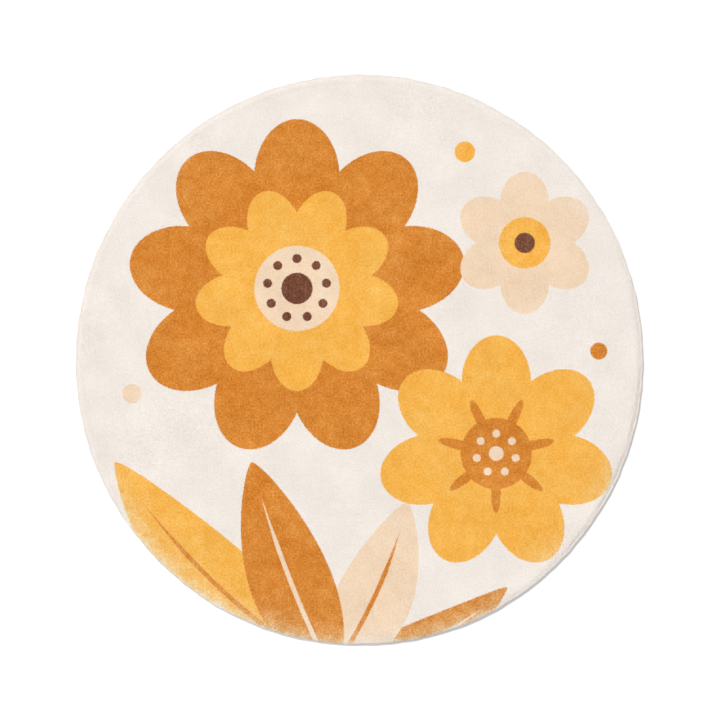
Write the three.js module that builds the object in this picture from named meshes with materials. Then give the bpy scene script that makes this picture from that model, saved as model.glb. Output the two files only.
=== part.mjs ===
// Round short-pile rug for a child's room, lying flat on the floor, as one solid.
// Millimetres, +Z up. The origin is the centre of the flat underside, +Y points to the top of
// the printed design and +X to its right.
import * as THREE from "three";

// Driving dimensions
const DIAMETER = 1200; // mean width across the round
const PILE_TOP = 9; // floor to the tips of the pile
const HEM_WIDTH = 5; // flat width of the narrow turned hem round the edge
const HEM_TOP = 8; // floor to the top of the hem's roll
const CREASE_DIP = 0.6; // the stitching draws the pile this far down behind the hem
const SHOULDER_WIDTH = 11; // from the hem's crease in to the full height of the pile
const STEPS_ROUND = 192; // facets round the edge

// Worked out from them
const RADIUS = DIAMETER / 2;
const CREASE_TOP = HEM_TOP - CREASE_DIP;

// Distance in from the cut edge, and height, of a point that is some share of the way from the
// hem's crease to the full pile.
const shoulderInset = (share) => HEM_WIDTH + share * SHOULDER_WIDTH;
const shoulderHeight = (share) => CREASE_TOP + share * (PILE_TOP - CREASE_TOP);

// Section of the rug from the middle of the underside, out and up over the hem, and in to the
// middle of the pile. inset is the distance in from the cut edge, height the distance up from
// the floor, and a puckered point moves up and down along the edge.
const SECTION = [
  { at: "middle of the underside", inset: RADIUS, height: 0, puckered: false },
  { at: "ring of the underside", inset: RADIUS / 2, height: 0, puckered: false },
  { at: "foot of the hem", inset: 0.8, height: 0, puckered: false },
  { at: "lower side of the hem", inset: 0.15, height: 0.2 * HEM_TOP, puckered: false },
  { at: "widest part of the hem", inset: 0, height: 0.45 * HEM_TOP, puckered: false },
  { at: "upper side of the hem", inset: 0.4, height: 0.8 * HEM_TOP, puckered: false },
  { at: "top of the hem", inset: 0.3 * HEM_WIDTH, height: HEM_TOP, puckered: false },
  { at: "inside of the hem", inset: 0.8 * HEM_WIDTH, height: HEM_TOP - 0.4 * CREASE_DIP, puckered: false },
  { at: "crease", inset: HEM_WIDTH, height: CREASE_TOP, puckered: true },
  { at: "foot of the shoulder", inset: shoulderInset(0.25), height: shoulderHeight(0.5), puckered: false },
  { at: "shoulder", inset: shoulderInset(0.6), height: shoulderHeight(0.86), puckered: false },
  { at: "edge of the full pile", inset: shoulderInset(1), height: PILE_TOP, puckered: false },
  { at: "ring of the pile", inset: RADIUS / 2, height: PILE_TOP, puckered: false },
  { at: "middle of the pile", inset: RADIUS, height: PILE_TOP, puckered: false },
];

// The cut edge strays a little from a true circle: it is taller than wide, with shorter bulges
// along it. swing is in millimetres, peak is the bearing of one bulge in degrees from +X to +Y.
const EDGE_WAVES = [
  { order: 2, swing: 1.4, peak: 77 },
  { order: 3, swing: 0.6, peak: 75 },
  { order: 7, swing: 0.3, peak: 37 },
  { order: 8, swing: 0.25, peak: 27 },
];

// The hem's stitching pulls the crease down unevenly along its length.
const CREASE_WAVES = [
  { order: 17, swing: 0.2, peak: 9 },
  { order: 29, swing: 0.15, peak: 4 },
];

// Sum of one table's waves at a bearing in radians, in millimetres.
function waveSum(waves, bearing) {
  const swings = waves.map(({ order, swing, peak }) => {
    const fromPeak = bearing - THREE.MathUtils.degToRad(peak);
    return swing * Math.cos(order * fromPeak);
  });
  return swings.reduce((sum, swing) => sum + swing, 0);
}

// The section turned about the upright axis, then made uneven: the edge waves move each point
// in or out in proportion to its radius, and the crease waves move the crease up and down.
function rugGeometry() {
  const section = SECTION.map(({ inset, height }) => new THREE.Vector2(RADIUS - inset, height));
  const geometry = new THREE.LatheGeometry(section, STEPS_ROUND).rotateX(Math.PI / 2);
  const position = geometry.getAttribute("position");
  const point = new THREE.Vector3();
  for (let i = 0; i < position.count; i += 1) {
    point.fromBufferAttribute(position, i);
    const bearing = Math.atan2(point.y, point.x);
    const spread = 1 + waveSum(EDGE_WAVES, bearing) / RADIUS;
    const { puckered } = SECTION[i % SECTION.length];
    const pucker = puckered ? waveSum(CREASE_WAVES, bearing) : 0;
    position.setXYZ(i, point.x * spread, point.y * spread, point.z + pucker);
  }
  geometry.computeVertexNormals();
  return geometry;
}

// Off-white plush, fully matt
const pile = new THREE.MeshStandardMaterial({ color: 0xf3eae2, roughness: 0.95, metalness: 0 });

const rug = new THREE.Mesh(rugGeometry(), pile);
rug.name = "rug";

const part = new THREE.Group();
part.add(rug);

export default part;
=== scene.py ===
# A round short-pile rug for a child's room, laid flat: a plush round with a narrow turned hem,
# printed with three flowers, a fan of leaves and a few dots.
import math
from typing import NamedTuple

import bpy
import numpy as np
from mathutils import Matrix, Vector


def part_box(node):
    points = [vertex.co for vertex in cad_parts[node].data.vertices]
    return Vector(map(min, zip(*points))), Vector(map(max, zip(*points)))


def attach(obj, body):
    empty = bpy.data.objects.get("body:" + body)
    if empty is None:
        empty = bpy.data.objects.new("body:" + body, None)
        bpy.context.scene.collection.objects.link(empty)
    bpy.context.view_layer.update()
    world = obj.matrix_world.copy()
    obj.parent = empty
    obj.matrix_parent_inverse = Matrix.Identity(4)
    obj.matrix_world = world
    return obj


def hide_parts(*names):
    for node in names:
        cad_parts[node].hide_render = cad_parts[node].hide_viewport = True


bl_info = {
    "name": "Round printed rug",
    "version": (1, 0, 0),
    "blender": (4, 5, 0),
    "location": "View3D > Sidebar > Rug",
    "description": "Builds a round short-pile rug with a turned hem and a printed flower design",
    "category": "Add Mesh",
}

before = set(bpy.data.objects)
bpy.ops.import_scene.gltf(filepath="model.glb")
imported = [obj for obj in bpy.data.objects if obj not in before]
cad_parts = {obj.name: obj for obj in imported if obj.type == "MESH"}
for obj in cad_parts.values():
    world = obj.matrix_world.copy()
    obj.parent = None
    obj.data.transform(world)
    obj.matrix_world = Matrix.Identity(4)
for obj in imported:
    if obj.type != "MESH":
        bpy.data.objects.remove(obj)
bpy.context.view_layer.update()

# Overall sizes, in metres, from the solid rug
RUG_LOW, RUG_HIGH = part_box("rug")
RUG_HALF_WIDTH = (RUG_HIGH.x - RUG_LOW.x) / 2
RUG_HALF_LENGTH = (RUG_HIGH.y - RUG_LOW.y) / 2
RADIUS = (RUG_HALF_WIDTH + RUG_HALF_LENGTH) / 2
PILE_TOP = RUG_HIGH.z

SEED = 20
BAKE_MAP = "OFBake"  # the name of the flat map that each tuft piece carries


class Petals(NamedTuple):
    """A ring of petals or dots. Sizes are shares of the rug's radius, turn is in degrees."""

    colour: str
    count: int
    turn: float
    reach: float
    length: float
    width: float


class Disc(NamedTuple):
    """A round patch. Its radius is a share of the rug's."""

    colour: str
    radius: float


class Flower(NamedTuple):
    """A flower or a dot: where its middle is, and its layers from the lowest up."""

    middle: tuple
    layers: list


class Leaf(NamedTuple):
    """A leaf that grows from the foot of the fan. Sizes are shares of the rug's radius."""

    colour: str
    rib_colour: str
    tip: tuple
    width: float
    bend: float


# The printed design. Places are shares of the rug's radius from its middle, and in each list
# what comes later lies on top.
LEAF_FOOT = (-0.10, -1.10)
LEAVES = [
    Leaf("burnt_orange", "beige", (0.52, -0.80), 0.085, -0.05),
    Leaf("amber", "burnt_orange", (-0.86, -0.36), 0.150, 0.06),
    Leaf("beige", "burnt_orange", (0.17, -0.50), 0.135, -0.03),
    Leaf("burnt_orange", "beige", (-0.38, -0.36), 0.145, 0.02),
]
LEAF_BELLY = 0.8  # below 1, it moves a leaf's widest part towards its foot
LEAF_FULLNESS = 0.72  # below 1, it fills a leaf out towards both ends
RIB_WIDTH = 0.009
RIB_END = 0.86  # share of the leaf's length
RIB_TAPER = 0.25  # share of the leaf's length over which the rib runs out
FLOWERS = [
    Flower(
        (-0.22, 0.25),
        [
            Petals("burnt_orange", 9, 90, 0.390, 0.205, 0.150),
            Disc("burnt_orange", 0.360),
            Petals("amber", 9, 70, 0.225, 0.135, 0.092),
            Disc("amber", 0.180),
            Disc("beige", 0.150),
            Petals("brown", 9, 90, 0.105, 0.016, 0.016),
            Disc("brown", 0.055),
        ],
    ),
    Flower(
        (0.48, -0.33),
        [
            Petals("amber", 7, 90, 0.250, 0.165, 0.122),
            Disc("amber", 0.200),
            Petals("burnt_orange", 7, 64, 0.140, 0.068, 0.017),
            Disc("burnt_orange", 0.125),
            Petals("beige", 7, 90, 0.070, 0.014, 0.014),
            Disc("beige", 0.026),
        ],
    ),
    Flower(
        (0.58, 0.41),
        [
            Petals("beige", 6, 90, 0.145, 0.105, 0.085),
            Disc("amber", 0.090),
            Disc("brown", 0.036),
        ],
    ),
    Flower((0.37, 0.73), [Disc("amber", 0.036)]),
    Flower((0.84, 0.03), [Disc("burnt_orange", 0.030)]),
    Flower((-0.80, -0.12), [Disc("beige", 0.034)]),
]
PRINT_COLOURS = ("ground", "burnt_orange", "amber", "beige", "brown")


class RugSizes(bpy.types.PropertyGroup):
    """Sizes of the rug's hem and pile."""

    hem_width: bpy.props.FloatProperty(
        name="Hem width", description="From the cut edge in to the crease",
        default=0.0055, min=0.003, max=0.015, unit="LENGTH",
    )
    hem_height: bpy.props.FloatProperty(
        name="Hem height", description="From the floor to the top of the hem",
        default=0.0083, min=0.005, max=0.0088, unit="LENGTH",
    )
    edge_dip: bpy.props.FloatProperty(
        name="Edge dip",
        description="How far the stitching draws the edge down where it pulls most",
        default=0.0018, min=0.0, max=0.003, unit="LENGTH",
    )
    crease_dip: bpy.props.FloatProperty(
        name="Crease dip", description="How much deeper the crease is there than the hem",
        default=0.00072, min=0.0, max=0.002, unit="LENGTH",
    )
    shoulder_width: bpy.props.FloatProperty(
        name="Shoulder width", description="From the crease in to the full height of the pile",
        default=0.011, min=0.004, max=0.03, unit="LENGTH",
    )
    pile_length: bpy.props.FloatProperty(
        name="Pile length", description="Length of a tuft above the ground cloth",
        default=0.0020, min=0.0005, max=0.004, unit="LENGTH",
    )
    hem_pile_length: bpy.props.FloatProperty(
        name="Hem pile length", description="Length of a tuft on the hem",
        default=0.0013, min=0.0003, max=0.002, unit="LENGTH",
    )
    tuft_pitch: bpy.props.FloatProperty(
        name="Tuft pitch", description="Distance between neighbouring tufts in a row",
        default=0.0025, min=0.0025, max=0.01, unit="LENGTH",
    )


class RugColours(bpy.types.PropertyGroup):
    """Colours of the rug's ground, of its printing inks and of its underside."""

    ground: bpy.props.FloatVectorProperty(
        name="Ground", description="Unprinted off-white plush",
        default=(0.840, 0.781, 0.723), min=0, max=1, size=3, subtype="COLOR",
    )
    burnt_orange: bpy.props.FloatVectorProperty(
        name="Burnt orange", description="Ink of the large flower",
        default=(0.660, 0.230, 0.005), min=0, max=1, size=3, subtype="COLOR",
    )
    amber: bpy.props.FloatVectorProperty(
        name="Amber", description="Ink of the second flower",
        default=(0.869, 0.455, 0.057), min=0, max=1, size=3, subtype="COLOR",
    )
    beige: bpy.props.FloatVectorProperty(
        name="Beige", description="Ink of the small flower",
        default=(0.841, 0.655, 0.476), min=0, max=1, size=3, subtype="COLOR",
    )
    brown: bpy.props.FloatVectorProperty(
        name="Brown", description="Ink of the seeds",
        default=(0.172, 0.043, 0.010), min=0, max=1, size=3, subtype="COLOR",
    )
    backing: bpy.props.FloatVectorProperty(
        name="Backing", description="Ground cloth on the underside",
        default=(0.62, 0.59, 0.54), min=0, max=1, size=3, subtype="COLOR",
    )


class Wire:
    """An output socket of a node tree. Arithmetic on it adds Math nodes to that tree."""

    def __init__(self, tree, socket):
        self.tree = tree
        self.socket = socket

    @classmethod
    def add(cls, tree, kind, settings=None, inputs=None, output=0):
        """Adds a node, sets its settings and then its sockets, and returns one of its outputs."""
        node = tree.nodes.new(kind)
        for name, value in (settings or {}).items():
            setattr(node, name, value)
        for name, value in (inputs or {}).items():
            if isinstance(value, cls):
                tree.links.new(value.socket, node.inputs[name])
            else:
                node.inputs[name].default_value = value
        return cls(tree, node.outputs[output]) if node.outputs else None

    def math(self, operation, *others, clamp=False):
        """The result of a Math node whose first value is this one."""
        return self.math_of(operation, self, *others, clamp=clamp)

    def math_of(self, operation, *values, clamp=False):
        """The result of a Math node on these values."""
        settings = {"operation": operation, "use_clamp": clamp}
        return Wire.add(self.tree, "ShaderNodeMath", settings, dict(enumerate(values)))

    def __add__(self, other):
        return self.math("ADD", other)

    __radd__ = __add__

    def __sub__(self, other):
        return self.math("SUBTRACT", other)

    def __rsub__(self, other):
        return self.math_of("SUBTRACT", other, self)

    def __mul__(self, other):
        return self.math("MULTIPLY", other)

    __rmul__ = __mul__

    def __truediv__(self, other):
        return self.math("DIVIDE", other)

    def __pow__(self, other):
        return self.math("POWER", other)

    def __abs__(self):
        return self.math("ABSOLUTE")

    def clamped(self):
        """This value held between 0 and 1."""
        return self.math("ADD", 0.0, clamp=True)


# Sockets of a Mix node that mixes colours
MIX_FACTOR, MIX_UNDER, MIX_OVER, MIX_RESULT = 0, 6, 7, 2


class Spots(NamedTuple):
    """A kind of uneven spots: their size in metres, and how many finer layers lie over them."""

    size: float
    detail: float


CLOUDS = Spots(0.10, 3)
BLOTCHES = Spots(0.022, 2)
GRAIN = Spots(0.0040, 2)
FIBRES = Spots(0.0009, 2)
SLUBS = Spots(0.012, 3)
INK_RUNS = Spots(0.0022, 1)
SPOT_MIDDLE = 0.5  # the value that spots vary about
SPOT_ROUGHNESS = 0.55  # strength of each finer layer, as a share of the one before

# In its clouds and blotches the nap shows a deeper colour, and a darker one in a strong ink, in
# which the grain shows more too.
CLOUD_DEPTH = 0.24
BLOTCH_DEPTH = 0.28
INK_NAP_SHADE = 0.8
GRAIN_SHADE = 0.21
INK_GRAIN_SHADE = 0.37

# Painted shade: towards the cut edge the pile's colour is darkened, standing in for the shade at
# its rim
PAINTED_RIM_SHADE_WIDTH = 0.022
PAINTED_RIM_SHADE = 0.065

PILE_ROUGHNESS = 0.95
PILE_SHEEN = 0.12
PILE_SHEEN_ROUGHNESS = 0.6
FIBRE_BUMP = {"Strength": 0.6, "Distance": 0.0006}

# How the print lies on the pile: distances in metres, and shares of its ink that are thinned out
# or have missed the fibres
INK_EDGE = 0.0012  # width over which an inked edge runs out
INK_WANDER = 0.0032  # how far a full swing of the ink's runs carries it across an edge
FADE_WIDTH = 0.020  # the ink thins out over about this distance towards the cut edge
FADE_SWAY = 0.030  # how far blotches move the fade in or out
FADE_SPECKLE = 1.2  # how strongly the grain breaks the fade into specks
FADE_THINNED = 0.50
FADE_MISSED = 0.34
BARE_WIDTH = 0.0025  # within about this distance of the cut edge, most of the ink is gone
BARE_MISSED = 0.60
THINNED_BY_GRAIN = 0.6
MISSED_ALL_OVER = 0.025
MISSED_BY_GRAIN = 0.09
FILLED_BY_NAP = 0.13

# The ground cloth on the underside
WEAVE_PITCH = 0.0016
WEAVE_BUMP = {"Strength": 0.4, "Distance": 0.0003}
CLOTH_TONE = 0.95
WEAVE_SHADE = 0.06
SLUB_SHADE = 0.12
CLOTH_ROUGHNESS = 0.9


def hypotenuse(a, b):
    """Distance of a point from the origin."""
    return (a * a + b * b).math("SQRT")


def cover(distance):
    """1 well inside a shape and 0 outside, from the distance outside its edge."""
    return (0.5 - distance / INK_EDGE).clamped()


def noise(place, spots, output=0):
    """Uneven spots over the rug's plane, with values between 0 and 1."""
    inputs = {
        "Vector": place, "Scale": 1 / spots.size, "Detail": spots.detail,
        "Roughness": SPOT_ROUGHNESS,
    }
    return Wire.add(place.tree, "ShaderNodeTexNoise", {"noise_dimensions": "2D"}, inputs, output)


def swing(place, spots):
    """Uneven spots over the rug's plane, with values that swing about 0."""
    return noise(place, spots) - SPOT_MIDDLE


def mixed(mask, under, over):
    """One colour laid over another where the mask is 1."""
    inputs = {MIX_FACTOR: mask, MIX_UNDER: under, MIX_OVER: over}
    return Wire.add(mask.tree, "ShaderNodeMix", {"data_type": "RGBA"}, inputs, MIX_RESULT)


def vector_math(tree, operation, **values):
    """The result of a Vector Math node, with its sockets named a, b, c and scale."""
    sockets = {"a": 0, "b": 1, "c": 2, "scale": "Scale"}
    inputs = {sockets[name]: value for name, value in values.items()}
    return Wire.add(tree, "ShaderNodeVectorMath", {"operation": operation}, inputs)


def powered(colour, power):
    """A colour with each of its parts raised to a power: above 1 it is deeper, below 1 paler."""
    inputs = {"Color": colour, "Gamma": power}
    return Wire.add(colour.tree, "ShaderNodeGamma", None, inputs)


def shaded(colour, shade):
    """A colour made lighter or darker."""
    return vector_math(shade.tree, "SCALE", a=colour, scale=shade)


def plane_parts(place):
    """How far a place is to the right of the rug's middle and above it, seen from over the rug."""
    inputs = {"Vector": place}
    return [Wire.add(place.tree, "ShaderNodeSeparateXYZ", None, inputs, part) for part in "XY"]


def petal_mask(layer, away, bearing):
    """The ring of petals round a point, from the distance and the bearing to that point."""
    step = math.tau / layer.count
    turned = (bearing - math.radians(layer.turn)).math("WRAP", step / 2, -step / 2)
    along = (away * turned.math("COSINE") - layer.reach * RADIUS) / (layer.length * RADIUS)
    aside = away * turned.math("SINE") / (layer.width * RADIUS)
    return cover((hypotenuse(along, aside) - 1) * (layer.width * RADIUS))


def leaf_masks(leaf, x, y):
    """The leaf's blade and its midrib."""
    foot_x, foot_y = (share * RADIUS for share in LEAF_FOOT)
    run_x, run_y = leaf.tip[0] * RADIUS - foot_x, leaf.tip[1] * RADIUS - foot_y
    length = math.hypot(run_x, run_y)
    run_x, run_y = run_x / length, run_y / length
    along = (((x - foot_x) * run_x + (y - foot_y) * run_y) / length).clamped()
    aside = (y - foot_y) * run_x - (x - foot_x) * run_y
    bow = along * (1 - along) * 4  # 0 at both ends and 1 half way
    aside = abs(aside - bow * (leaf.bend * RADIUS))
    rounded = (along ** LEAF_BELLY * math.pi).math("SINE") ** LEAF_FULLNESS
    half_width = rounded * (leaf.width * RADIUS)
    rib_width = ((RIB_END - along) / RIB_TAPER).clamped() * (RIB_WIDTH * RADIUS)
    return cover(aside - half_width + INK_EDGE / 2), cover(aside - rib_width + INK_EDGE / 2)


def printed_design(place, inks):
    """Colour of the printed flowers and leaves on the ground colour."""
    tree = place.tree
    spread = noise(place, INK_RUNS, output="Color")
    apart = vector_math(tree, "SUBTRACT", a=spread, b=(SPOT_MIDDLE,) * 3)
    moved = vector_math(tree, "MULTIPLY_ADD", a=apart, b=(INK_WANDER,) * 3, c=place)
    x, y = plane_parts(moved)
    colour = inks["ground"]
    for leaf in LEAVES:
        blade, rib = leaf_masks(leaf, x, y)
        colour = mixed(blade, colour, inks[leaf.colour])
        colour = mixed(rib * blade, colour, inks[leaf.rib_colour])
    for flower in FLOWERS:
        across, up = x - flower.middle[0] * RADIUS, y - flower.middle[1] * RADIUS
        away, bearing = hypotenuse(across, up), up.math("ARCTAN2", across)
        for layer in flower.layers:
            if isinstance(layer, Petals):
                mask = petal_mask(layer, away, bearing)
            else:
                mask = cover(away - layer.radius * RADIUS)
            colour = mixed(mask, colour, inks[layer.colour])
    return colour


def inked(ground, design, density):
    """The ground seen through its inks, which give the design's own colours at density 1."""
    passed = vector_math(design.tree, "DIVIDE", a=design, b=ground[:3])
    return vector_math(design.tree, "MULTIPLY", a=powered(passed, density), b=ground[:3])


def new_material(name):
    """An empty node material."""
    material = bpy.data.materials.new(name)
    material.use_nodes = True
    material.node_tree.nodes.clear()
    return material


def surface(tree, **sockets):
    """The finished shader, with sockets named by their words joined with underscores."""
    inputs = {name.replace("_", " "): value for name, value in sockets.items()}
    shader = Wire.add(tree, "ShaderNodeBsdfPrincipled", None, inputs)
    Wire.add(tree, "ShaderNodeOutputMaterial", None, {"Surface": shader})


def printed_plush(colours):
    """Short printed pile: matt, with soft cloudy nap, thin ink near the edge and fine grain."""
    material = new_material("printed_plush")
    tree = material.node_tree
    inks = {name: (*getattr(colours, name), 1.0) for name in PRINT_COLOURS}
    place = Wire.add(tree, "ShaderNodeTexCoord", output="Object")
    x, y = plane_parts(place)
    clouds, blotches, grain = (swing(place, spots) for spots in (CLOUDS, BLOTCHES, GRAIN))
    nap = clouds * CLOUD_DEPTH + blotches * BLOTCH_DEPTH
    # Near the cut edge the ink fades in blotches and specks, and most is gone from the hem's side.
    inset = (1 - hypotenuse(x / RUG_HALF_WIDTH, y / RUG_HALF_LENGTH)) * RADIUS
    fade = ((inset + blotches * FADE_SWAY) * (-1 / FADE_WIDTH)).math("EXPONENT")
    fade = fade * (1 + grain * FADE_SPECKLE)
    bare = (inset * (-1 / BARE_WIDTH)).math("EXPONENT")
    # All over, it is thinner in some grains than in others and misses a few fibres.
    density = 1 - fade * FADE_THINNED - grain * THINNED_BY_GRAIN
    colour = inked(inks["ground"], printed_design(place, inks), density.math("MAXIMUM", 0.0))
    missed = MISSED_ALL_OVER + grain * MISSED_BY_GRAIN - nap * FILLED_BY_NAP
    missed = missed + fade * FADE_MISSED + bare * BARE_MISSED
    colour = mixed(missed.clamped(), colour, inks["ground"])
    # How strong the ink is shows in the green that it takes out of the ground.
    green = Wire.add(tree, "ShaderNodeSeparateColor", None, {"Color": colour}, "Green")
    strength = (1 - green / colours.ground[1]) ** 2
    shade = 1 + grain * GRAIN_SHADE + strength * (grain * INK_GRAIN_SHADE - nap * INK_NAP_SHADE)
    # Painted shade: the colour darkens towards the cut edge.
    shade = shade - (1 - inset / PAINTED_RIM_SHADE_WIDTH).clamped() * PAINTED_RIM_SHADE
    bump = Wire.add(tree, "ShaderNodeBump", None, {**FIBRE_BUMP, "Height": noise(place, FIBRES)})
    surface(
        tree, Base_Color=shaded(powered(colour, 1 + nap), shade), Roughness=PILE_ROUGHNESS,
        Normal=bump, Sheen_Weight=PILE_SHEEN, Sheen_Roughness=PILE_SHEEN_ROUGHNESS,
    )
    return material


def ground_cloth(colours):
    """Plain-woven backing on the underside."""
    material = new_material("ground_cloth")
    tree = material.node_tree
    place = Wire.add(tree, "ShaderNodeTexCoord", output="Object")
    x, y = (part * (math.pi / WEAVE_PITCH) for part in plane_parts(place))
    weave = x.math("SINE") * y.math("SINE")
    shade = CLOTH_TONE + weave * WEAVE_SHADE + swing(place, SLUBS) * SLUB_SHADE
    bump = Wire.add(tree, "ShaderNodeBump", None, {**WEAVE_BUMP, "Height": weave})
    surface(
        tree, Base_Color=shaded(tuple(colours.backing), shade), Roughness=CLOTH_ROUGHNESS,
        Normal=bump,
    )
    return material


SAME_HEIGHT = 0.0002  # the solid's points that are this close in height lie in one ring


def cut_edge():
    """Bearings and radii of the cut edge, from the solid's points at the widest of its hem."""
    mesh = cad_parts["rug"].data
    points = np.empty(len(mesh.vertices) * 3)
    mesh.vertices.foreach_get("co", points)
    x, y, z = points.reshape(-1, 3).T
    widest = np.isclose(z, z[np.argmax(np.hypot(x, y))], atol=SAME_HEIGHT)
    bearing, radius = np.arctan2(y[widest], x[widest]), np.hypot(x[widest], y[widest])
    order = np.argsort(bearing)
    return bearing[order], radius[order]


EDGE_BEARING, EDGE_RADIUS = cut_edge()
RAGGED_ORDERS = (19, 27, 43, 59, 79, 97)  # bulges round the whole edge
RAGGED_SWING = 0.00022


def edge_radius(bearing):
    """Radius at each bearing of the cut edge, which is a little ragged."""
    ragged = sum(np.cos(order * bearing + order ** 2) for order in RAGGED_ORDERS)
    smooth = np.interp(bearing, EDGE_BEARING, EDGE_RADIUS, period=math.tau)
    return smooth + RAGGED_SWING * ragged


DRIFT_WAVES = 9
DRIFT_PACES = (0.7, 1.5)  # least and most waves in a wavelength


def drift(rng, x, y, wavelength):
    """A smooth uneven field of about -1 to 1 over points, with swells about a wavelength long."""
    total = np.zeros(np.shape(x))
    for heading in rng.uniform(0, math.tau, DRIFT_WAVES):
        cycles = rng.uniform(*DRIFT_PACES) * math.tau / wavelength
        along = x * np.cos(heading) + y * np.sin(heading)
        total += np.cos(cycles * along + rng.uniform(0, math.tau))
    return total / math.sqrt(DRIFT_WAVES)


class Section(NamedTuple):
    """Points along the rug's outer face in section, and the two parts of its normal there."""

    inset: np.ndarray
    height: np.ndarray
    out: np.ndarray
    up: np.ndarray

    def along(self, wanted, given):
        """The section at wanted values of a measure that is given at each of its points."""
        return Section(*(np.interp(wanted, given, part) for part in self))


SECTION_STEPS = 45
SOFTENING = np.array([1, 2, 3, 2, 1]) / 9  # rounds the section's corners


def edge_section(sizes):
    """The outer face from the floor up over the hem and in to the full pile, without the crease."""
    hem, top, shoulder = sizes.hem_width, sizes.hem_height, sizes.shoulder_width
    rise = PILE_TOP - top
    # Distance in from the cut edge and height of each corner, in metres
    corners = np.array([
        (0.0007, 0.0),  # foot of the hem
        (0.0001, 0.20 * top),  # its lower side
        (0.0, 0.45 * top),  # its widest part
        (0.0002, 0.80 * top),  # its upper side
        (0.20 * hem, 0.94 * top),  # outside of its top
        (0.60 * hem, 0.99 * top),  # inside of its top
        (hem, top),  # where the crease runs
        (hem + 0.25 * shoulder, top + 0.50 * rise),  # foot of the shoulder
        (hem + 0.60 * shoulder, top + 0.86 * rise),  # shoulder
        (hem + shoulder, PILE_TOP),  # edge of the full pile
    ])
    run = np.concatenate([[0], np.cumsum(np.linalg.norm(np.diff(corners, axis=0), axis=1))])
    steps = np.linspace(0, run[-1], SECTION_STEPS)
    inset, height = (np.interp(steps, run, column) for column in corners.T)
    ends = len(SOFTENING) // 2
    inset[ends:-ends] = np.convolve(inset, SOFTENING, "valid")
    height[ends:-ends] = np.convolve(height, SOFTENING, "valid")
    out, up = np.gradient(height), np.gradient(inset)
    length = np.hypot(out, up)
    return Section(inset, height, out / length, up / length)


# How the hem's stitching draws the edge and the crease down
PULLED_SIDE = math.radians(-8)  # the bearing where it pulls hardest
PULL_FOCUS = 3  # how fast the pull falls off to both sides of that
PULL_ALL_ROUND = 0.08  # share of the pull that is left elsewhere
PUCKER_ORDERS = (23, 41, 67, 97, 131)  # puckers round the whole edge
PUCKER_PULL = 0.8  # mean pull on the crease
PUCKER_SWING = 0.3  # how far each order of puckers changes it
PUCKER_LEAST, PUCKER_MOST = 0.1, 1.5  # limits of their sum
CREASE_SPREAD = 0.0028  # distance from its middle over which the crease runs out
EDGE_DIP_SPREAD = 0.015  # distance in from the cut edge over which the edge's dip runs out

TILT_STEP = 0.0001  # distance over which the face's tilt is measured
SIDE_PILE_SHARE = 0.3  # length of the tufts on the hem's side, as a share of those on its top


def drawn_down(sizes, inset, bearing):
    """How far the stitching draws the rug's face down at each point."""
    side = PULL_ALL_ROUND + np.maximum(np.cos(bearing - PULLED_SIDE), 0) ** PULL_FOCUS
    puckers = sum(np.cos(order * bearing + order) for order in PUCKER_ORDERS)
    crease = np.exp(-((inset - sizes.hem_width) / CREASE_SPREAD) ** 2)
    pull = side * np.clip(PUCKER_PULL + PUCKER_SWING * puckers, PUCKER_LEAST, PUCKER_MOST)
    from_edge = np.clip(inset / EDGE_DIP_SPREAD, 0, 1)
    edge = 1 - from_edge ** 2 * (3 - 2 * from_edge)  # runs smoothly from 1 to 0
    return sizes.edge_dip * side * edge + sizes.crease_dip * pull * crease


def face_points(sizes, section, bearing):
    """Points on the rug's outer face and its normals, from a section and a bearing for each."""
    drop = drawn_down(sizes, section.inset, bearing)
    tilt = (drop - drawn_down(sizes, section.inset + TILT_STEP, bearing)) / TILT_STEP
    radius = edge_radius(bearing) * (1 - section.inset / RADIUS)
    outward = np.cos(bearing), np.sin(bearing)
    points = np.stack([radius * outward[0], radius * outward[1], section.height - drop], -1)
    out = section.out + tilt * section.up
    normals = np.stack([out * outward[0], out * outward[1], section.up], -1)
    return points, normals / np.linalg.norm(normals, axis=-1, keepdims=True)


def pile_length_at(sizes, section):
    """Length of the tufts on a section: shortest on the side of the hem, full on the pile."""
    ends = [sizes.hem_width, sizes.hem_width + sizes.shoulder_width]
    full = np.interp(section.inset, ends, [sizes.hem_pile_length, sizes.pile_length])
    return full * np.maximum(section.up, SIDE_PILE_SHARE)


def new_piece(name, points, faces, *materials):
    """A smooth mesh object that moves with the rug, with the materials given."""
    mesh = bpy.data.meshes.new(name)
    mesh.from_pydata(points.tolist(), [], faces)
    mesh.update()
    mesh.shade_smooth()
    for material in materials:
        mesh.materials.append(material)
    piece = bpy.data.objects.new(name, mesh)
    bpy.context.scene.collection.objects.link(piece)
    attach(piece, "root")
    return piece


def shared_material(name, make, colours):
    """The material of this name, made the first time that it is asked for."""
    return bpy.data.materials.get(name) or make(colours)


SEGMENTS = 384
FIELD_RINGS = 26
FIELD_START = 0.01  # from the edge of the full pile in to the first ring of the field
FIELD_END = 0.99  # share of the radius, from the cut edge in to the last ring
UNDER_RINGS = 8
UNDER_START, UNDER_END = 0.02, 0.99  # shares of the underside's radius
DOWNWARD = -0.7  # a face whose normal points further down than this is on the underside


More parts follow.
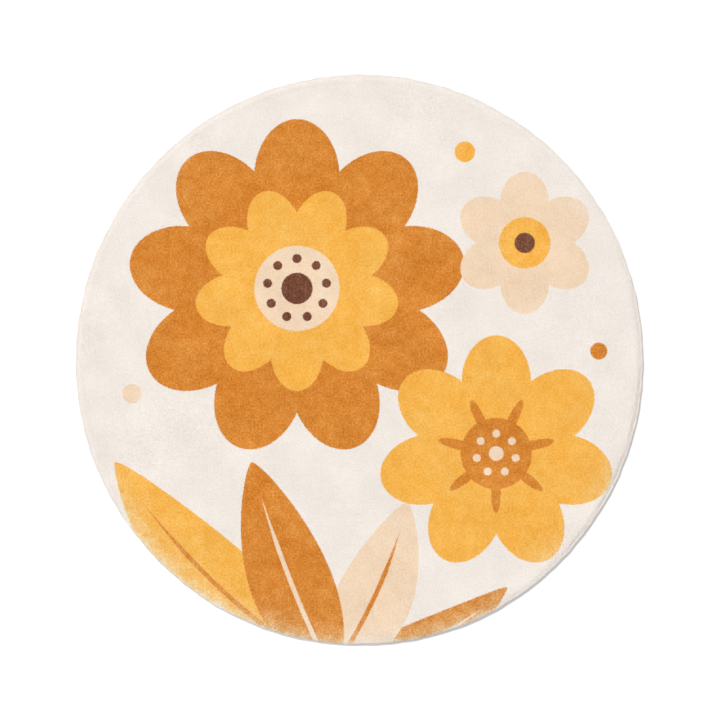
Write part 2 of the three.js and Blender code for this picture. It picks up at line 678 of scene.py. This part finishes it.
def body_rings(sizes):
    """Points of the body in rings: out under the rug, up over the hem and in over the pile."""
    section = edge_section(sizes)
    full_pile = sizes.hem_width + sizes.shoulder_width
    field = np.linspace(full_pile + FIELD_START, RADIUS * FIELD_END, FIELD_RINGS)
    level = np.zeros(FIELD_RINGS)
    face = Section(field, level + PILE_TOP, level, level + 1)
    face = Section(*(np.concatenate(parts) for parts in zip(section, face)))
    rings = Section(*(np.repeat(part[:, None], SEGMENTS, 1) for part in face))
    bearing = np.arange(SEGMENTS) * math.tau / SEGMENTS
    points, normals = face_points(sizes, rings, np.broadcast_to(bearing, rings.inset.shape))
    points -= normals * pile_length_at(sizes, rings)[..., None]
    points[..., 2] = np.maximum(points[..., 2], 0)
    spread = np.linspace(UNDER_START, UNDER_END, UNDER_RINGS)[:, None, None]
    under = points[0] * spread * (1, 1, 0)
    return np.concatenate([under, points])


def ring_faces(rings):
    """Faces between neighbouring rings, and round a middle point at each end."""
    here = np.arange(SEGMENTS)
    after = np.roll(here, -1)
    low = np.arange(rings - 1)[:, None] * SEGMENTS
    high = low + SEGMENTS
    quads = np.stack([low + here, low + after, high + after, high + here], -1).reshape(-1, 4)
    last = (rings - 1) * SEGMENTS
    first_middle = np.full(SEGMENTS, rings * SEGMENTS)
    last_middle = first_middle + 1
    first_fan = np.stack([after, here, first_middle], 1)
    last_fan = np.stack([last + here, last + after, last_middle], 1)
    return quads.tolist() + first_fan.tolist() + last_fan.tolist()


class RUG_OT_body(bpy.types.Operator):
    """Make the rug's body: the ground of the pile, the turned hem and the flat underside"""

    bl_idname = "rug.body"
    bl_label = "Rug body"

    def execute(self, context):
        sizes, colours = context.scene.rug_sizes, context.scene.rug_colours
        rings = body_rings(sizes)
        middles = [(0, 0, 0), (0, 0, PILE_TOP - sizes.pile_length)]
        points = np.concatenate([rings.reshape(-1, 3), middles])
        body = new_piece(
            "rug_body", points, ring_faces(len(rings)),
            shared_material("printed_plush", printed_plush, colours),
            shared_material("ground_cloth", ground_cloth, colours),
        )
        for polygon in body.data.polygons:
            polygon.material_index = int(polygon.normal.z < DOWNWARD)
        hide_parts("rug")
        return {"FINISHED"}


class Tufts(NamedTuple):
    """Places and shapes of tufts, as arrays with a row for each."""

    tips: np.ndarray
    normals: np.ndarray
    leans: np.ndarray
    lengths: np.ndarray

    def chosen(self, rows):
        """Some of the tufts."""
        return Tufts(*(part[rows] for part in self))


PILE_STRIPS = 5
HEM_PITCH_SHARE = 0.75  # pitch of the hem's tufts, as a share of the field's
HEM_PILE_START = 0.001  # height above the floor of the hem's lowest tufts
FIELD_JITTER, HEM_JITTER = 0.22, 0.25  # scatter of the tufts' places, as a share of their pitch

# A tuft is a spike with three corners round its foot and one at its tip
FOOT_CORNERS = 3
TUFT_FACES = np.array([(0, 1, 3), (1, 2, 3), (2, 0, 3), (2, 1, 0)])
TUFT_HALF_WIDTH = 0.95  # share of the pitch
TUFT_WIDTHS = (0.9, 1.15)  # least and most share of that
TUFT_SINK = 0.5  # share of the tuft's length that stands in the ground cloth
TUFT_CLIP = 0.18  # largest share of its length that a tuft falls short by
TUFT_ROUNDING = 0.45  # how far a tuft's shading turns outward round it
TUFT_UPTURN = np.array([0, 0, 0.6])  # and up, as loose fibres catch light from all sides
FLOOR_GAP = 0.0003  # no tuft reaches lower above the floor than this

# How the pile is brushed. Leans are shares of a tuft's length by which its tip moves aside.
BRUSHED_BEARING = -math.pi / 2
SWATHE_TURN = 0.7  # radians that the swathes turn to either side
SWATHE_LENGTH = 0.16
MEAN_LEAN = 0.30
LEAN_SWING = 0.12
LEAN_SWING_LENGTH = 0.09
LEAN_SCATTER = 0.15
MOST_LEAN = 0.5


def tuft_piece(name, tufts, pitch, rng, material):
    """One joined mesh of tufts: closed three-sided spikes that stand on the ground cloth."""
    count = len(tufts.tips)
    normals, long = tufts.normals, tufts.lengths[:, None]
    side = np.cross(normals, rng.normal(size=(count, 3)))
    side /= np.linalg.norm(side, axis=1, keepdims=True)
    other = np.cross(normals, side)
    foot = tufts.tips - normals * long * (1 + TUFT_SINK)
    half_width = TUFT_HALF_WIDTH * pitch * rng.uniform(*TUFT_WIDTHS, (count, 1))
    points = np.empty((count, FOOT_CORNERS + 1, 3))
    shading = np.empty_like(points)
    for corner in range(FOOT_CORNERS):
        angle = corner * math.tau / FOOT_CORNERS
        outward = side * math.cos(angle) + other * math.sin(angle)
        points[:, corner] = foot + outward * half_width
        shading[:, corner] = normals + TUFT_UPTURN + TUFT_ROUNDING * outward
    clipped = normals * long * rng.uniform(0, TUFT_CLIP, (count, 1))
    points[:, FOOT_CORNERS] = tufts.tips + tufts.leans * long - clipped
    shading[:, FOOT_CORNERS] = normals + TUFT_UPTURN + TUFT_ROUNDING * tufts.leans
    points, shading = points.reshape(-1, 3), shading.reshape(-1, 3)
    points[:, 2] = np.maximum(points[:, 2], FLOOR_GAP)
    shading /= np.linalg.norm(shading, axis=1, keepdims=True)
    first_corners = (FOOT_CORNERS + 1) * np.arange(count)[:, None, None]
    faces = (TUFT_FACES + first_corners).reshape(-1, 3)
    piece = new_piece(name, points, faces.tolist(), material)
    low, high = points[:, :2].min(0), points[:, :2].max(0)
    flat_map = (points[faces.ravel(), :2] - low) / (high - low)
    piece.data.uv_layers.new(name=BAKE_MAP).data.foreach_set("uv", flat_map.ravel())
    piece.data.normals_split_custom_set_from_vertices(shading.tolist())
    return piece


def brushed(tips, rng):
    """How tufts lean: mostly towards the foot of the design, in uneven swathes."""
    x, y = tips[:, 0], tips[:, 1]
    heading = BRUSHED_BEARING + SWATHE_TURN * drift(rng, x, y, SWATHE_LENGTH)
    slant = MEAN_LEAN + LEAN_SWING * drift(rng, x, y, LEAN_SWING_LENGTH)
    leans = np.stack([np.cos(heading) * slant, np.sin(heading) * slant, np.zeros(len(x))], 1)
    leans += rng.normal(0, LEAN_SCATTER, leans.shape) * (1, 1, 0)
    lengths = np.linalg.norm(leans, axis=1, keepdims=True)
    return leans * np.minimum(1, MOST_LEAN / np.maximum(lengths, MOST_LEAN))


def field_tufts(sizes, rng):
    """Tufts on the flat pile and its shoulder, in staggered uneven rows."""
    pitch = sizes.tuft_pitch
    rows = np.arange(-RUG_HALF_LENGTH, RUG_HALF_LENGTH, pitch * math.sqrt(3) / 2)
    columns = np.arange(-RUG_HALF_WIDTH, RUG_HALF_WIDTH, pitch)
    x, y = np.meshgrid(columns, rows)
    x[1::2] += pitch / 2
    x = x.ravel() + rng.normal(0, FIELD_JITTER * pitch, x.size)
    y = y.ravel() + rng.normal(0, FIELD_JITTER * pitch, y.size)
    bearing = np.arctan2(y, x)
    inset = (1 - np.hypot(x, y) / edge_radius(bearing)) * RADIUS
    kept = inset > sizes.hem_width
    bearing, inset = bearing[kept], inset[kept]
    section = edge_section(sizes)
    inner = Section(*(part[np.argmin(section.inset):] for part in section))
    inner = inner.along(inset, inner.inset)._replace(inset=inset)
    tips, normals = face_points(sizes, inner, bearing)
    return Tufts(tips, normals, brushed(tips, rng), pile_length_at(sizes, inner))


def hem_tufts(sizes, pitch, rng):
    """Tufts on the hem, in staggered uneven rings from just above the floor to the crease."""
    section = edge_section(sizes)
    run = np.cumsum(np.hypot(np.gradient(section.inset), np.gradient(section.height)))
    start = run[np.argmax(section.height > HEM_PILE_START)]
    inner = slice(np.argmin(section.inset), None)
    crease = np.interp(sizes.hem_width, section.inset[inner], run[inner])
    rings = np.arange(start, crease, pitch)
    per_ring = int(math.tau * RADIUS / pitch)
    step = math.tau / per_ring
    stagger = np.arange(len(rings))[:, None] % 2 * 0.5
    bearing = ((np.arange(per_ring) + stagger) * step).ravel()
    bearing = bearing + rng.normal(0, HEM_JITTER * step, bearing.size)
    uneven = np.repeat(rings, per_ring) + rng.normal(0, HEM_JITTER * pitch, bearing.size)
    hem = section.along(uneven, run)
    tips, normals = face_points(sizes, hem, bearing)
    return Tufts(tips, normals, brushed(tips, rng), pile_length_at(sizes, hem))


class RUG_OT_pile(bpy.types.Operator):
    """Make the short pile: joined meshes of tufts on the field and on the hem"""

    bl_idname = "rug.pile"
    bl_label = "Pile"

    def execute(self, context):
        sizes, colours = context.scene.rug_sizes, context.scene.rug_colours
        plush = shared_material("printed_plush", printed_plush, colours)
        rng = np.random.default_rng(SEED)
        field = field_tufts(sizes, rng)
        left_to_right = np.argsort(field.tips[:, 0], kind="stable")
        pieces = [
            tuft_piece(f"pile_strip_{number}", field.chosen(rows), sizes.tuft_pitch, rng, plush)
            for number, rows in enumerate(np.array_split(left_to_right, PILE_STRIPS), 1)
        ]
        hem_pitch = HEM_PITCH_SHARE * sizes.tuft_pitch
        hem = hem_tufts(sizes, hem_pitch, rng)
        pieces.append(tuft_piece("pile_hem", hem, hem_pitch, rng, plush))
        return {"FINISHED"}


# Where the photograph has the rug's edge, in pixels of its own square frame
PHOTO_SIDE_PX = 720
PHOTO_MIDDLE_PX = (359.6, 359.6)
PHOTO_WIDTH_PX = 568.9
LENS_MM = 100
SENSOR_MM = 36
CLIP_END = 100  # metres, past the floor in every view


class Sun(NamedTuple):
    """A far lamp. Angles are in degrees, and 1 on the floor lights white level ground fully."""

    name: str
    bearing: float
    height: float
    spread: float
    on_floor: float


SUNS = [Sun("key_light", 121, 47, 4, 0.50), Sun("fill_light", 172, 26, 10, 0.11)]
SKY_ON_FLOOR = 0.660
WHITE = (1, 1, 1, 1)
FLOOR_TONE = (0.88, 0.88, 0.88, 1)
FLOOR_ROUGHNESS = 0.9
FLOOR_HALF = 60.0
FLOOR_DROP = 0.0002


def pale_floor(scene):
    """A wide pale floor just under the rug."""
    material = new_material("pale_floor")
    surface(material.node_tree, Base_Color=FLOOR_TONE, Roughness=FLOOR_ROUGHNESS)
    mesh = bpy.data.meshes.new("floor")
    square = [(-1, -1), (1, -1), (1, 1), (-1, 1)]
    corners = [(FLOOR_HALF * x, FLOOR_HALF * y, -FLOOR_DROP) for x, y in square]
    mesh.from_pydata(corners, [], [(0, 1, 2, 3)])
    mesh.materials.append(material)
    floor = bpy.data.objects.new("floor", mesh)
    scene.collection.objects.link(floor)


def soft_light(scene):
    """An even white sky, a soft sun from the upper left and a weaker, lower one from the left."""
    world = bpy.data.worlds.new("soft_light")
    world.use_nodes = True
    sky = world.node_tree.nodes["Background"]
    sky.inputs["Color"].default_value = WHITE
    sky.inputs["Strength"].default_value = SKY_ON_FLOOR
    scene.world = world
    for sun in SUNS:
        bearing, height = math.radians(sun.bearing), math.radians(sun.height)
        lamp = bpy.data.lights.new(sun.name, "SUN")
        lamp.energy = sun.on_floor * math.pi / math.sin(height)
        lamp.angle = math.radians(sun.spread)
        light = bpy.data.objects.new(sun.name, lamp)
        level = math.cos(height)
        toward = Vector((level * math.cos(bearing), level * math.sin(bearing), math.sin(height)))
        light.rotation_euler = toward.to_track_quat("Z", "Y").to_euler()
        scene.collection.objects.link(light)


def overhead_camera(scene, edge_height):
    """A camera that looks straight down, with the rug's edge where the photograph has it."""
    pixel = 2 * RADIUS / PHOTO_WIDTH_PX
    lens = bpy.data.cameras.new("camera")
    lens.lens = LENS_MM
    lens.sensor_width = SENSOR_MM
    lens.clip_end = CLIP_END
    camera = bpy.data.objects.new("camera", lens)
    camera.location = (
        (PHOTO_SIDE_PX / 2 - PHOTO_MIDDLE_PX[0]) * pixel,
        (PHOTO_MIDDLE_PX[1] - PHOTO_SIDE_PX / 2) * pixel,
        edge_height + PHOTO_SIDE_PX * pixel * LENS_MM / SENSOR_MM,
    )
    scene.collection.objects.link(camera)
    scene.camera = camera


class RUG_OT_stage(bpy.types.Operator):
    """Set the stage: a pale floor, soft light and a camera that looks straight down"""

    bl_idname = "rug.stage"
    bl_label = "Stage"

    def execute(self, context):
        scene = context.scene
        scene.view_settings.view_transform = "Standard"
        pale_floor(scene)
        soft_light(scene)
        overhead_camera(scene, scene.rug_sizes.hem_height / 2)
        return {"FINISHED"}


class RUG_PT_panel(bpy.types.Panel):
    """Lists the rug's sizes, its colours and the steps that make it"""

    bl_label = "Rug"
    bl_idname = "RUG_PT_panel"
    bl_space_type = "VIEW_3D"
    bl_region_type = "UI"
    bl_category = "Rug"

    def draw(self, context):
        for group in (context.scene.rug_sizes, context.scene.rug_colours):
            for name in group.__annotations__:
                self.layout.prop(group, name)
        for operator in (RUG_OT_body, RUG_OT_pile, RUG_OT_stage):
            self.layout.operator(operator.bl_idname)


CLASSES = (RugSizes, RugColours, RUG_OT_body, RUG_OT_pile, RUG_OT_stage, RUG_PT_panel)


def register():
    """Registers the classes, and gives each scene the rug's sizes and colours."""
    for cls in CLASSES:
        bpy.utils.register_class(cls)
    bpy.types.Scene.rug_sizes = bpy.props.PointerProperty(type=RugSizes)
    bpy.types.Scene.rug_colours = bpy.props.PointerProperty(type=RugColours)


def unregister():
    """Takes back what register gave."""
    del bpy.types.Scene.rug_colours
    del bpy.types.Scene.rug_sizes
    for cls in reversed(CLASSES):
        bpy.utils.unregister_class(cls)


def main():
    """Makes the rug and its stage."""
    register()
    bpy.ops.rug.body()
    bpy.ops.rug.pile()
    bpy.ops.rug.stage()


if __name__ == "__main__":
    main()
